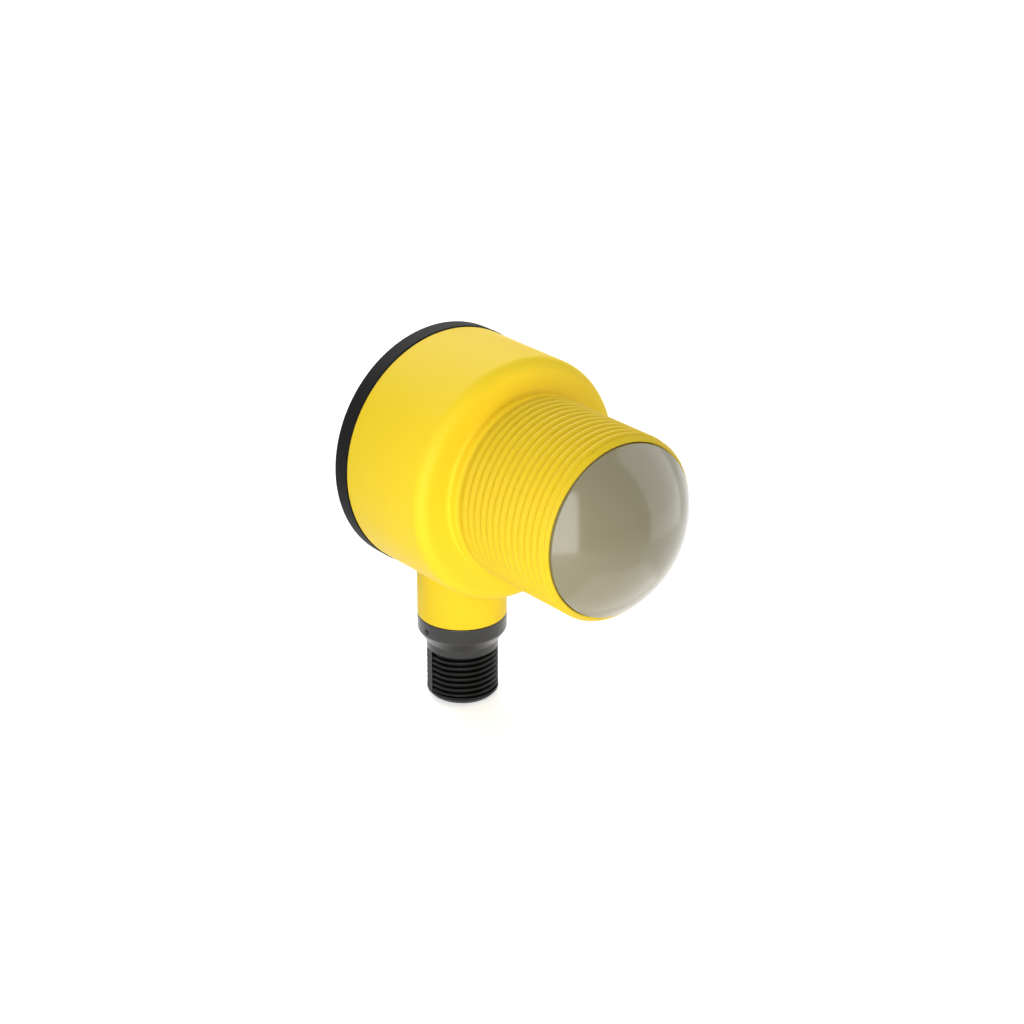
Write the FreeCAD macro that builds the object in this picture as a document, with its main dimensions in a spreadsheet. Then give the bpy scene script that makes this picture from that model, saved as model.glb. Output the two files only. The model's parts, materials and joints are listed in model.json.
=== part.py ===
import FreeCAD, Part
import Sketcher
import math
import os
from types import SimpleNamespace

# Right-angle radar sensor, in millimetres.
# X is to the right, +Y to the rear, -Y the way the lens looks, +Z up.
# The origin lies on the barrel's axis, where the barrel's full diameter starts ahead of the shoulder.

SIZES = {
    # Round body and its shoulder
    "body_diameter": 40.3,
    "body_length": 19.0,
    "body_wall": 2.0,
    "shoulder_wall": 2.0,
    "shoulder_fillet": 2.1,
    "seam_rounding": 0.2,
    # Relief between the shoulder and the barrel's full diameter
    "relief_width": 1.25,
    "relief_depth": 0.5,
    "relief_ramp": 0.31,
    "relief_fillet": 0.8,
    # Barrel with a rounded M30 x 1.5 thread between two plain lands
    "barrel_diameter": 30.0,
    "barrel_length": 22.1,
    "barrel_wall": 2.1,
    "rim_wall": 1.05,
    "rear_land": 0.95,
    "front_land": 1.4,
    "rim_chamfer_length": 1.2,
    "rim_chamfer_depth": 0.9,
    "mouth_rounding": 0.1,
    "barrel_pitch": 1.5,
    "barrel_thread_start": 1.62,
    "barrel_thread_stop": 0.98,
    "barrel_thread_depth": 0.5,
    "barrel_runout": 0.3,
    "barrel_ridge_gap": 0.2,
    "barrel_crest_width": 0.9,
    "barrel_crest_radius": 0.62,
    "crest_below_land": 0.02,
    # Stem that drops to the connector
    "stem_inset": 3.5,
    "stem_length": 8.35,
    "stem_wall": 1.05,
    "stem_rounding": 0.3,
    "passage_bore": 5.8,
    "passage_offset": 2.75,
    # Lens
    "lens_fit": 0.1,
    "lens_foot": 0.43,
    "dome_radius": 18.8,
    "lens_spigot_length": 3.5,
    "lens_seal_inset": 1.0,
    # O-rings: each fills its groove's depth, with a small fit against floor and wall
    "seal_thickness": 1.0,
    "seal_groove_width": 1.3,
    "seal_fit": 0.02,
    "spigot_fit": 0.1,
    # Antenna holder and absorber
    "holder_fit": 0.05,
    "holder_wall": 1.15,
    "holder_ledge_height": 2.0,
    "holder_ledge_width": 1.3,
    "absorber_lens_gap": 2.2,
    "absorber_front_wall": 0.45,
    "absorber_rear_wall": 2.6,
    # Boards
    "board_thickness": 1.6,
    "radar_board_fit": 0.2,
    "radar_board_seat": 1.8,
    "seat_width": 1.7,
    "main_board_gap": 0.55,
    "passage_board_gap": 0.25,
    # Bosses and screws that carry the main board
    "boss_count": 3,
    "boss_inset": 3.85,
    "boss_diameter": 4.4,
    "screw_diameter": 2.0,
    "screw_length": 5.6,
    "screw_fit": 0.03,
    "screw_hole_spare": 0.4,
    "screw_board_fit": 0.2,
    "screw_head_diameter": 3.8,
    "screw_head_height": 1.4,
    "screw_slot_width": 0.5,
    "screw_slot_length": 2.4,
    "screw_slot_depth": 0.7,
    # Board-to-board link
    "link_columns": 4,
    "link_rows": 2,
    "link_pitch": 2.0,
    "link_pin_diameter": 0.5,
    "link_hole_fit": 0.03,
    "link_margin": 0.2,
    "header_height": 2.5,
    "socket_height": 5.0,
    "link_pin_engagement": 3.5,
    "link_pin_tail": 1.3,
    # Rear cover
    "cover_overhang": 0.15,
    "cover_rim_width": 2.85,
    "cover_chamfer": 1.4,
    "cover_wall": 2.0,
    "cover_spigot_length": 3.25,
    "cover_spigot_wall": 1.95,
    "cover_seal_inset": 0.7,
    "cover_saddle_gap": 0.15,
    "bead_height": 0.25,
    "bead_width": 0.6,
    "bead_inset": 0.75,
    "bead_fit": 0.1,
    # Connector, from the stem downwards
    "collar_height": 2.55,
    "cone_height": 2.1,
    "neck_length": 1.3,
    "connector_thread_length": 7.45,
    "connector_end_land": 0.45,
    "connector_chamfer_height": 0.75,
    "connector_chamfer_width": 0.65,
    "connector_diameter": 12.0,
    "connector_pitch": 1.0,
    "connector_thread_start": 0.34,
    "connector_thread_depth": 0.55,
    "connector_ridge_gap": 0.2,
    "connector_crest_width": 0.3,
    "connector_crest_radius": 0.22,
    "parting_web_width": 1.05,
    "parting_web_turn": 168.8,
    "shell_spigot_length": 4.5,
    "shell_seal_wall": 0.96,
    "shell_seal_inset": 1.2,
    "shell_seal_thickness": 0.8,
    "shell_seal_groove": 1.1,
    "socket_bore": 8.6,
    "socket_depth": 8.5,
    "key_width": 1.0,
    "key_height": 0.7,
    "dimple_diameter": 0.9,
    "dimple_depth": 0.7,
    "dimple_drop": 1.6,
    "collar_rounding": 0.8,
    "key_inset": 0.6,
    # Contact carrier and pins
    "carrier_fit": 0.05,
    "carrier_nose_length": 3.6,
    "carrier_flange_width": 0.3,
    "carrier_flange_height": 3.5,
    "pin_count": 4,
    "pin_circle": 5.5,
    "pin_diameter": 1.0,
    "pin_recess": 1.1,
    "pin_tail": 1.2,
    "pin_tip_chamfer": 0.2,
    "pin_fit": 0.02,
    "lead_diameter": 0.8,
    "lead_room": 4.35,
    # Indicator lights
    "light_spacing": 8.0,
    "light_inset": 6.6,
    "light_guide_diameter": 2.0,
    "light_guide_flange": 3.2,
    "light_guide_flange_height": 0.8,
    "light_guide_fit": 0.05,
    "light_gap": 0.3,
    "led_length": 1.6,
    "led_width": 0.8,
    "led_height": 0.8,
    # Electronic pieces: side along X, side along Z, height off the board, and gaps to their neighbours
    "radar_chip_gap": 0.9,
    "radar_edge_gap": 1.4,
    "radar_chip_side": 9.0,
    "radar_chip_height": 0.9,
    "memory_width": 5.0,
    "memory_height": 0.9,
    "crystal_width": 2.5,
    "crystal_height": 0.8,
    "chip_capacitor_length": 1.6,
    "chip_capacitor_width": 0.8,
    "chip_capacitor_height": 0.8,
    "chip_capacitor_pitch": 2.0,
    "small_capacitor_gap": 3.0,
    "processor_side": 7.0,
    "processor_height": 0.9,
    "processor_gap": 1.3,
    "processor_rise": 1.5,
    "driver_width": 5.0,
    "driver_depth": 4.0,
    "driver_height": 1.7,
    "driver_gap": 0.4,
    "coil_side": 6.0,
    "coil_gap": 0.6,
    "coil_height": 3.0,
    "storage_diameter": 6.3,
    "storage_height": 5.5,
    "storage_inset": 7.4,
    "storage_rise": 2.6,
    "surge_width": 3.6,
    "surge_depth": 4.3,
    "surge_height": 2.3,
    "surge_gap": 1.0,
    # Leads: their pads on the main board, straight ends, and places in the passage
    "pad_spacing": 1.8,
    "pad_inset": 5.6,
    "pad_stagger": 1.2,
    "lead_first_run": 1.4,
    "lead_last_run": 2.2,
    "passage_entry": 0.15,
    "passage_exit": 1.9,
    "passage_lean": 0.2,
    "rear_lead_across": 1.1,
    "rear_lead_back": 1.3,
    "front_lead_across": 1.75,
    "front_lead_ahead": 0.7,
    "middle_lead_ahead": 0.3,
    # How far a cutting shape runs on past the faces it cuts
    "cut_past": 1.0,
}

document = FreeCAD.newDocument("radar_sensor")
sheet = document.addObject("Spreadsheet::Sheet", "Sizes")


class Size:
    """A length with both its number and the sheet expression that it is bound by."""

    def __init__(self, value, text):
        self.value = float(value)
        self.text = text

    def __add__(self, other):
        other = as_size(other)
        return Size(self.value + other.value, f"({self.text} + {other.text})")

    def __sub__(self, other):
        other = as_size(other)
        return Size(self.value - other.value, f"({self.text} - {other.text})")

    def __mul__(self, other):
        other = as_size(other)
        return Size(self.value * other.value, f"({self.text} * {other.text})")

    def __truediv__(self, other):
        other = as_size(other)
        return Size(self.value / other.value, f"({self.text} / {other.text})")

    def __neg__(self):
        return Size(-self.value, f"(0 - {self.text})")

    __radd__ = __add__
    __rmul__ = __mul__


def as_size(number):
    """Wrap a plain number, so that it can stand in an expression."""
    return number if isinstance(number, Size) else Size(number, f"({number})")


def root(size):
    """Square root of an area."""
    return Size(math.sqrt(size.value), f"sqrt({size.text})")


def whole_turns(length, pitch):
    """How many whole turns of a pitch fit in a length."""
    spare = 0.001
    count = math.floor(length.value / pitch.value + spare)
    return Size(count, f"floor({length.text} / {pitch.text} + {spare})")


def fill_sheet():
    """Write the driving sizes to the sheet and return them by name."""
    for row, (name, value) in enumerate(SIZES.items(), start=1):
        sheet.set(f"A{row}", name)
        sheet.set(f"B{row}", str(value))
        sheet.setAlias(f"B{row}", name)
    document.recompute()
    return SimpleNamespace(**{name: Size(value, f"Sizes.{name}") for name, value in SIZES.items()})


s = fill_sheet()
subparts = []


def keep(item, node):
    """Name a finished sub-part and list it for export."""
    item.Label = node
    subparts.append(item)
    return item


def bind(item, **values):
    """Bind properties of an object to sizes; a double underscore stands for a dot."""
    for name, value in values.items():
        item.setExpression(name.replace("__", "."), as_size(value).text)
    return item


# Sketches and the features made from them


def new_body(name):
    return document.addObject("PartDesign::Body", name + "_body")


def origin_of(body, role):
    """One of the body's own origin planes or axes."""
    for feature in body.Origin.OriginFeatures:
        if feature.Role == role:
            return feature
    raise ValueError(role)


def new_sketch(body, plane, offset=0, turn=0):
    """A sketch on one of the body's origin planes, moved along its normal and turned about it."""
    sketch = body.newObject("Sketcher::SketchObject", "sketch")
    sketch.AttachmentSupport = [(origin_of(body, plane), "")]
    sketch.MapMode = "FlatFace"
    bind(sketch, AttachmentOffset__Base__z=offset)
    if turn:
        bind(sketch, AttachmentOffset__Rotation__Angle=turn)
    return sketch


def hold_point(sketch, geometry, corner, x, y):
    """Hold a point of the sketch at x, y from the sketch's origin."""
    for kind, size in (("DistanceX", as_size(x)), ("DistanceY", as_size(y))):
        index = sketch.addConstraint(Sketcher.Constraint(kind, -1, 1, geometry, corner, size.value))
        sketch.setExpression(f"Constraints[{index}]", size.text)


def hold_radius(sketch, geometry, radius):
    index = sketch.addConstraint(Sketcher.Constraint("Radius", geometry, radius.value))
    sketch.setExpression(f"Constraints[{index}]", radius.text)


def arc_between(start, end, radius, side):
    """Arc of the given radius from start to end, with its centre left (+1) or right (-1) of travel."""
    chord = end - start
    middle = (start + end) * 0.5
    rise = math.sqrt(max(radius ** 2 - chord.Length ** 2 / 4, 0))
    normal = FreeCAD.Vector(-chord.y, chord.x, 0).normalize()
    centre = middle + normal * (rise * side)
    first, last = (start, end) if side > 0 else (end, start)
    begin = math.atan2(first.y - centre.y, first.x - centre.x)
    finish = math.atan2(last.y - centre.y, last.x - centre.x)
    if finish <= begin:
        finish += 2 * math.pi
    circle = Part.Circle(centre, FreeCAD.Vector(0, 0, 1), radius)
    return Part.ArcOfCircle(circle, begin, finish)


def draw_outline(sketch, points):
    """Closed outline through the points: (x, y) ends a line, (x, y, radius, side) ends an arc."""
    corners = [FreeCAD.Vector(as_size(p[0]).value, as_size(p[1]).value, 0) for p in points]
    ends = []
    for number, point in enumerate(points):
        start = corners[number - 1]
        end = corners[number]
        if len(point) == 2:
            geometry = sketch.addGeometry(Part.LineSegment(start, end), False)
            ends.append((geometry, 1, 2))
        else:
            radius = as_size(point[2])
            side = point[3]
            geometry = sketch.addGeometry(arc_between(start, end, radius.value, side), False)
            ends.append((geometry, 1, 2) if side > 0 else (geometry, 2, 1))
    for number, point in enumerate(points):
        geometry, _, last = ends[number]
        following, first, _ = ends[(number + 1) % len(points)]
        sketch.addConstraint(Sketcher.Constraint("Coincident", geometry, last, following, first))
        hold_point(sketch, geometry, last, point[0], point[1])
        if len(point) == 4:
            hold_radius(sketch, geometry, as_size(point[2]))
    return sketch


def draw_circle(sketch, x, y, radius):
    radius = as_size(radius)
    centre = FreeCAD.Vector(as_size(x).value, as_size(y).value, 0)
    circle = Part.Circle(centre, FreeCAD.Vector(0, 0, 1), radius.value)
    geometry = sketch.addGeometry(circle, False)
    hold_point(sketch, geometry, 3, x, y)
    hold_radius(sketch, geometry, radius)
    return sketch


def turned(body, kind, plane, axis, points):
    """A full turn of an outline about one of the body's axes: Revolution adds, Groove cuts."""
    sketch = draw_outline(new_sketch(body, plane), points)
    feature = body.newObject("PartDesign::" + kind, kind.lower())
    feature.Profile = sketch
    feature.ReferenceAxis = (origin_of(body, axis), [""])
    feature.Angle = 360
    return feature


def extruded(body, kind, sketch, length, backwards=False):
    """A Pad or Pocket of a sketch over a length."""
    feature = body.newObject("PartDesign::" + kind, kind.lower())
    feature.Profile = sketch
    feature.Reversed = backwards
    bind(feature, Length=length)
    return feature


def add_thread(body, axis, sketch, pitch, turns):
    """A helical ridge that climbs along the axis from its sketched section."""
    feature = body.newObject("PartDesign::AdditiveHelix", "thread")
    feature.Profile = sketch
    feature.ReferenceAxis = (origin_of(body, axis), [""])
    feature.Mode = "pitch-turns-angle"
    bind(feature, Pitch=pitch, Turns=turns)
    return feature


def ridge_outline(centre, crest, depth, width, crest_width, crest_radius):
    """Section of a rounded ridge: (place along the axis, distance from it), sunk into its cylinder."""
    sink = depth / 4
    half = width / 2
    half_crest = crest_width / 2
    rise = crest_radius - root(crest_radius * crest_radius - half_crest * half_crest)
    spread = (half - half_crest) * (sink / (depth - rise))
    foot = crest - depth - sink
    return [
        (centre + half + spread, foot),
        (centre - half - spread, foot),
        (centre - half_crest, crest - rise),
        (centre + half_crest, crest - rise, crest_radius, -1),
    ]


def below(outline):
    """Mirror an outline about the sketch's first axis, which turns its arcs round too."""
    return [(p[0], -p[1]) if len(p) == 2 else (p[0], -p[1], p[2], -p[3]) for p in outline]


def upright(outline):
    """Swap an outline's two directions, which turns its arcs round too."""
    return [(p[1], p[0]) if len(p) == 2 else (p[1], p[0], p[2], -p[3]) for p in outline]


def check_cut(before, after, name):
    """A pocket or groove must have removed material."""
    if not after.Shape.Volume < before.Shape.Volume:
        raise RuntimeError(name + " cut nothing")


# Primitives and booleans


def box_at(name, centre, size):
    """Box with the given middle point and side lengths."""
    item = document.addObject("Part::Box", name)
    bind(item, Length=size[0], Width=size[1], Height=size[2])
    bind(
        item,
        Placement__Base__x=as_size(centre[0]) - as_size(size[0]) / 2,
        Placement__Base__y=as_size(centre[1]) - as_size(size[1]) / 2,
        Placement__Base__z=as_size(centre[2]) - as_size(size[2]) / 2,
    )
    return item


def rod_along_y(name, start, diameter, length):
    """Cylinder that runs towards +Y from its start point."""
    item = document.addObject("Part::Cylinder", name)
    item.Placement.Rotation = FreeCAD.Rotation(FreeCAD.Vector(1, 0, 0), -90)
    bind(item, Radius=as_size(diameter) / 2, Height=length)
    bind(item, Placement__Base__x=start[0], Placement__Base__y=start[1], Placement__Base__z=start[2])
    return item


def group(name, items):
    """Several separate solids as one object."""
    item = document.addObject("Part::Compound", name + "_group")
    item.Links = items
    return item


def fused(name, items):
    item = document.addObject("Part::MultiFuse", name + "_fuse")
    item.Shapes = items
    return item


def cut(name, base, tool):
    item = document.addObject("Part::Cut", name + "_cut")
    item.Base = base
    item.Tool = tool
    return item


# Places that several pieces share, worked out from the sizes

body_radius = s.body_diameter / 2
barrel_radius = s.barrel_diameter / 2
bore_radius = barrel_radius - s.barrel_wall
cavity_radius = body_radius - s.body_wall
shoulder_y = s.relief_width
body_end_y = shoulder_y + s.body_length
cavity_front_y = shoulder_y + s.shoulder_wall
rim_y = -s.barrel_length
lens_seat_y = rim_y + s.front_land
mouth_radius = barrel_radius - s.rim_wall
lens_radius = mouth_radius - s.lens_fit
lens_back_y = lens_seat_y + s.lens_spigot_length
radar_board_back_y = -s.radar_board_seat
radar_board_front_y = radar_board_back_y - s.board_thickness
seat_radius = bore_radius - s.seat_width
holder_radius = bore_radius - s.holder_fit
holder_inner_radius = holder_radius - s.holder_wall
ledge_radius = holder_inner_radius - s.holder_ledge_width
cover_radius = body_radius + s.cover_overhang
cover_back_y = body_end_y + s.cover_rim_width + s.cover_chamfer
cover_inner_y = cover_back_y - s.cover_wall
stem_y = body_end_y - s.stem_inset
stem_end_z = -(body_radius + s.stem_length)
socket_radius = s.socket_bore / 2
carrier_seat_radius = socket_radius + s.carrier_flange_width
stem_bore_radius = carrier_seat_radius + s.shell_seal_wall + s.shell_seal_thickness + s.seal_fit * 2
stem_radius = stem_bore_radius + s.stem_wall
passage_y = stem_y - s.passage_offset
main_board_back_y = passage_y - s.passage_bore / 2 - s.passage_board_gap
main_board_front_y = main_board_back_y - s.board_thickness
main_board_radius = cavity_radius - s.main_board_gap
light_z = main_board_radius - s.light_inset
link_half_width = s.link_pitch * SIZES["link_columns"] / 2 + s.link_margin
link_half_depth = s.link_pitch * SIZES["link_rows"] / 2 + s.link_margin
spigot_radius = cavity_radius - s.spigot_fit
cover_spigot_y = body_end_y - s.cover_spigot_length
light_places = [s.light_spacing / 2 * side for side in (-1, 1)]
shell_spigot_radius = stem_bore_radius - s.spigot_fit
shell_top_z = stem_end_z + s.shell_spigot_length
collar_end_z = stem_end_z - s.collar_height
cone_end_z = collar_end_z - s.cone_height
neck_end_z = cone_end_z - s.neck_length
thread_end_z = neck_end_z - s.connector_thread_length
connector_end_z = thread_end_z - s.connector_end_land - s.connector_chamfer_height
connector_radius = s.connector_diameter / 2
carrier_nose_z = connector_end_z + s.socket_depth
carrier_seat_z = carrier_nose_z + s.carrier_nose_length
carrier_top_z = carrier_seat_z + s.carrier_flange_height
pin_tail_z = carrier_top_z + s.pin_tail
stem_bore_top_z = pin_tail_z + s.lead_room


def ring_places(count, diameter, first_angle):
    """Evenly spaced points on a circle, as sizes, counted from the first angle in degrees."""
    places = []
    for number in range(count):
        angle = math.radians(first_angle + 360 * number / count)
        places.append((diameter / 2 * math.cos(angle), diameter / 2 * math.sin(angle)))
    return places


def bead_outline(radius, reach, grow):
    """Triangular bead around the cover's spigot, or with a gap all round its groove in the wall."""
    middle = body_end_y - s.bead_inset
    half = s.bead_width / 2 + grow
    return [(middle - half, radius), (middle, radius + reach), (middle + half, radius)]


boss_places = ring_places(SIZES["boss_count"], (cavity_radius - s.boss_inset) * 2, 90)
pin_places = ring_places(SIZES["pin_count"], s.pin_circle, 45) + [(s.pin_circle * 0, s.pin_circle * 0)]


def make_housing():
    """Yellow moulding: round body, barrel with thread, and stem, open at the rear, front and bottom."""
    body = new_body("housing")
    thread_root = barrel_radius - s.barrel_thread_depth
    relief_radius = barrel_radius - s.relief_depth
    outer = [
        (rim_y, 0),
        (rim_y, mouth_radius + s.mouth_rounding),
        (rim_y, barrel_radius),
        (lens_seat_y, barrel_radius),
        (lens_seat_y + s.barrel_runout, thread_root),
        (-s.rear_land - s.barrel_runout, thread_root),
        (-s.rear_land, barrel_radius),
        (0, barrel_radius),
        (s.relief_ramp, relief_radius),
        (shoulder_y - s.relief_fillet, relief_radius),
        (shoulder_y, relief_radius + s.relief_fillet, s.relief_fillet, 1),
        (shoulder_y, body_radius - s.shoulder_fillet),
        (shoulder_y + s.shoulder_fillet, body_radius, s.shoulder_fillet, -1),
        (body_end_y - s.seam_rounding, body_radius),
        (body_end_y, body_radius - s.seam_rounding, s.seam_rounding, -1),
        (body_end_y, 0),
    ]
    turned(body, "Revolution", "YZ_Plane", "Y_Axis", outer)

    stem_sketch = new_sketch(body, "XY_Plane", stem_end_z)
    draw_circle(stem_sketch, 0, stem_y, stem_radius)
    stem = extruded(body, "Pad", stem_sketch, s.stem_length + body_radius / 2)
    document.recompute()
    lower_edges = [
        f"Edge{number}"
        for number, edge in enumerate(stem.Shape.Edges, start=1)
        if edge.BoundBox.ZMax < stem_end_z.value + 0.001 and edge.isClosed()
    ]
    rounding = body.newObject("PartDesign::Fillet", "stem_rounding")
    rounding.Base = (stem, lower_edges)
    bind(rounding, Radius=s.stem_rounding)

    # The stem's top follows the rear cover's rim, with a gap
    saddle_radius = cover_radius + s.cover_saddle_gap
    beyond = stem_y + stem_radius * 2
    saddle = [
        (body_end_y, 0),
        (body_end_y, saddle_radius),
        (beyond, saddle_radius),
        (beyond, 0),
    ]
    saddle_cut = turned(body, "Groove", "YZ_Plane", "Y_Axis", saddle)

    bead_groove = bead_outline(cavity_radius, s.bead_height, s.bead_fit)
    inside = [
        (rim_y - s.cut_past, 0),
        (rim_y - s.cut_past, mouth_radius + s.mouth_rounding),
        (rim_y, mouth_radius + s.mouth_rounding),
        (rim_y + s.mouth_rounding, mouth_radius, s.mouth_rounding, 1),
        (lens_seat_y, mouth_radius),
        (lens_seat_y, bore_radius),
        (radar_board_back_y, bore_radius),
        (radar_board_back_y, seat_radius),
        (cavity_front_y, seat_radius),
        (cavity_front_y, cavity_radius),
        *bead_groove,
        (body_end_y + s.cut_past, cavity_radius),
        (body_end_y + s.cut_past, 0),
    ]
    cavity_cut = turned(body, "Groove", "YZ_Plane", "Y_Axis", inside)

    boss_sketch = new_sketch(body, "XZ_Plane", -cavity_front_y)
    for x, z in boss_places:
        draw_circle(boss_sketch, x, z, s.boss_diameter / 2)
    bosses = extruded(body, "Pad", boss_sketch, main_board_front_y - cavity_front_y, backwards=True)
    hole_sketch = new_sketch(body, "XZ_Plane", -main_board_front_y)
    for x, z in boss_places:
        draw_circle(hole_sketch, x, z, s.screw_diameter / 2 + s.screw_fit)
    hole_depth = s.screw_length - s.board_thickness + s.screw_hole_spare
    boss_holes = extruded(body, "Pocket", hole_sketch, hole_depth, backwards=True)

    bore_sketch = new_sketch(body, "XY_Plane", stem_end_z)
    draw_circle(bore_sketch, 0, stem_y, stem_bore_radius)
    stem_bore = extruded(body, "Pocket", bore_sketch, stem_bore_top_z - stem_end_z, backwards=True)
    passage_sketch = new_sketch(body, "XY_Plane", stem_end_z)
    draw_circle(passage_sketch, 0, passage_y, s.passage_bore / 2)
    passage_length = s.stem_length + s.body_wall + s.cut_past
    passage = extruded(body, "Pocket", passage_sketch, passage_length, backwards=True)

    # The ridge starts inside the front land, on the underside
    thread_room = s.barrel_length - s.barrel_thread_start - s.barrel_thread_stop
    turns = whole_turns(thread_room, s.barrel_pitch)
    first_ridge = -(s.barrel_thread_start + s.barrel_pitch * turns)
    ridge = ridge_outline(
        first_ridge,
        barrel_radius - s.crest_below_land,
        s.barrel_thread_depth,
        s.barrel_pitch - s.barrel_ridge_gap,
        s.barrel_crest_width,
        s.barrel_crest_radius,
    )
    thread_sketch = draw_outline(new_sketch(body, "YZ_Plane"), below(ridge))
    thread = add_thread(body, "Y_Axis", thread_sketch, s.barrel_pitch, turns)
    slope = s.rim_chamfer_depth / s.rim_chamfer_length
    chamfer = [
        (rim_y - s.cut_past, barrel_radius - s.rim_chamfer_depth - slope * s.cut_past),
        (rim_y + s.rim_chamfer_length + s.cut_past, barrel_radius + slope * s.cut_past),
        (rim_y - s.cut_past, barrel_radius + slope * s.cut_past),
    ]
    chamfer_cut = turned(body, "Groove", "YZ_Plane", "Y_Axis", chamfer)
    document.recompute()
    check_cut(rounding, saddle_cut, "saddle")
    check_cut(saddle_cut, cavity_cut, "cavity")
    check_cut(bosses, boss_holes, "boss holes")
    check_cut(boss_holes, stem_bore, "stem bore")
    check_cut(stem_bore, passage, "passage")
    check_cut(thread, chamfer_cut, "rim chamfer")
    keep(body, "housing")


def groove_outline(front, wall_radius, surface, thickness, width):
    """Square groove for an O-ring, cut in a spigot so that the ring nearly fills it to the wall."""
    floor = wall_radius - thickness - s.seal_fit * 2
    return [(front, surface), (front, floor), (front + width, floor), (front + width, surface)]


def o_ring(node, wall_radius, thickness, middle, along_y):
    """O-ring that lies in a groove just inside the given wall."""
    ring = document.addObject("Part::Torus", node)
    bind(ring, Radius1=wall_radius - s.seal_fit - thickness / 2, Radius2=thickness / 2)
    if along_y:
        ring.Placement.Rotation = FreeCAD.Rotation(FreeCAD.Vector(1, 0, 0), -90)
        bind(ring, Placement__Base__y=middle)
    else:
        bind(ring, Placement__Base__y=stem_y, Placement__Base__z=middle)
    keep(ring, node)


def make_rear_cover():
    """Black cover: rim and rear wall, with a spigot in the body that carries a seal and a snap bead."""
    body = new_body("rear_cover")
    outline = [
        (cover_spigot_y, spigot_radius - s.cover_spigot_wall),
        (cover_spigot_y, spigot_radius),
        *groove_outline(
            cover_spigot_y + s.cover_seal_inset,
            cavity_radius,
            spigot_radius,
            s.seal_thickness,
            s.seal_groove_width,
        ),
        *bead_outline(spigot_radius, s.bead_height, 0),
        (body_end_y, spigot_radius),
        (body_end_y, cover_radius - s.seam_rounding),
        (body_end_y + s.seam_rounding, cover_radius, s.seam_rounding, -1),
        (body_end_y + s.cover_rim_width, cover_radius),
        (cover_back_y, cover_radius - s.cover_chamfer),
        (cover_back_y, 0),
        (cover_inner_y, 0),
        (cover_inner_y, spigot_radius - s.cover_spigot_wall),
    ]
    shell = turned(body, "Revolution", "YZ_Plane", "Y_Axis", outline)
    window_sketch = new_sketch(body, "XZ_Plane", -cover_inner_y)
    for x in light_places:
        draw_circle(window_sketch, x, light_z, s.light_guide_diameter / 2 + s.light_guide_fit)
    windows = extruded(body, "Pocket", window_sketch, s.cover_wall + s.cut_past)
    document.recompute()
    check_cut(shell, windows, "light windows")
    keep(body, "rear_cover")
    seal_middle = cover_spigot_y + s.cover_seal_inset + s.seal_groove_width / 2
    o_ring("cover_seal", cavity_radius, s.seal_thickness, seal_middle, True)


def make_light_guides():
    """Clear rods from the indicator lights out through the rear wall, each flanged on its inside."""
    guides = []
    front = main_board_back_y + s.led_height + s.light_gap
    length = cover_back_y - front
    flange_y = cover_inner_y - s.light_guide_flange_height
    for x in light_places:
        rod = rod_along_y("guide_rod", (x, front, light_z), s.light_guide_diameter, length)
        flange_start = (x, flange_y, light_z)
        flange = rod_along_y("guide_flange", flange_start, s.light_guide_flange, s.light_guide_flange_height)
        guides.append(fused("light_guide", [rod, flange]))
    keep(group("light_guides", guides), "light_guides")


def make_lens():
    """Domed lens: a foot in the barrel's mouth, and a spigot with a seal behind it."""
    body = new_body("lens")
    spigot = bore_radius - s.spigot_fit
    foot_y = rim_y - s.lens_foot
    rise = s.dome_radius - root(s.dome_radius * s.dome_radius - lens_radius * lens_radius)
    groove_y = lens_seat_y + s.lens_seal_inset
    outline = [
        (lens_back_y, 0),
        (foot_y - rise, 0),
        (foot_y, lens_radius, s.dome_radius, -1),
        (lens_seat_y, lens_radius),
        (lens_seat_y, spigot),
        *groove_outline(groove_y, bore_radius, spigot, s.seal_thickness, s.seal_groove_width),
        (lens_back_y, spigot),
    ]
    turned(body, "Revolution", "YZ_Plane", "Y_Axis", outline)
    keep(body, "lens")
    o_ring("lens_seal", bore_radius, s.seal_thickness, groove_y + s.seal_groove_width / 2, True)


def make_antenna_holder():
    """Sleeve between lens and radar board, and the absorbing cone that sits on its ledge."""
    inner = holder_inner_radius
    ledge_y = radar_board_front_y - s.holder_ledge_height
    sleeve = new_body("antenna_holder")
    outline = [
        (lens_back_y, inner),
        (lens_back_y, holder_radius),
        (radar_board_front_y, holder_radius),
        (radar_board_front_y, ledge_radius),
        (ledge_y, ledge_radius),
        (ledge_y, inner),
    ]
    turned(sleeve, "Revolution", "YZ_Plane", "Y_Axis", outline)
    keep(sleeve, "antenna_holder")
    cone = new_body("absorber")
    cone_radius = inner - s.holder_fit
    cone_front_y = lens_back_y + s.absorber_lens_gap
    outline = [
        (cone_front_y, cone_radius - s.absorber_front_wall),
        (cone_front_y, cone_radius),
        (ledge_y, cone_radius),
        (ledge_y, cone_radius - s.absorber_rear_wall),
    ]
    turned(cone, "Revolution", "YZ_Plane", "Y_Axis", outline)
    keep(cone, "absorber")


def on_radar_board(name, x, z, width, depth, height):
    """A package on the radar board's front face."""
    return box_at(name, (x, radar_board_front_y - height / 2, z), (width, height, depth))


def on_main_board(name, x, z, width, depth, height):
    """A package on the main board's rear face."""
    return box_at(name, (x, main_board_back_y + height / 2, z), (width, height, depth))


def under_main_board(name, x, z, width, depth, height):
    """A package on the main board's front face."""
    return box_at(name, (x, main_board_front_y - height / 2, z), (width, height, depth))


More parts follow.
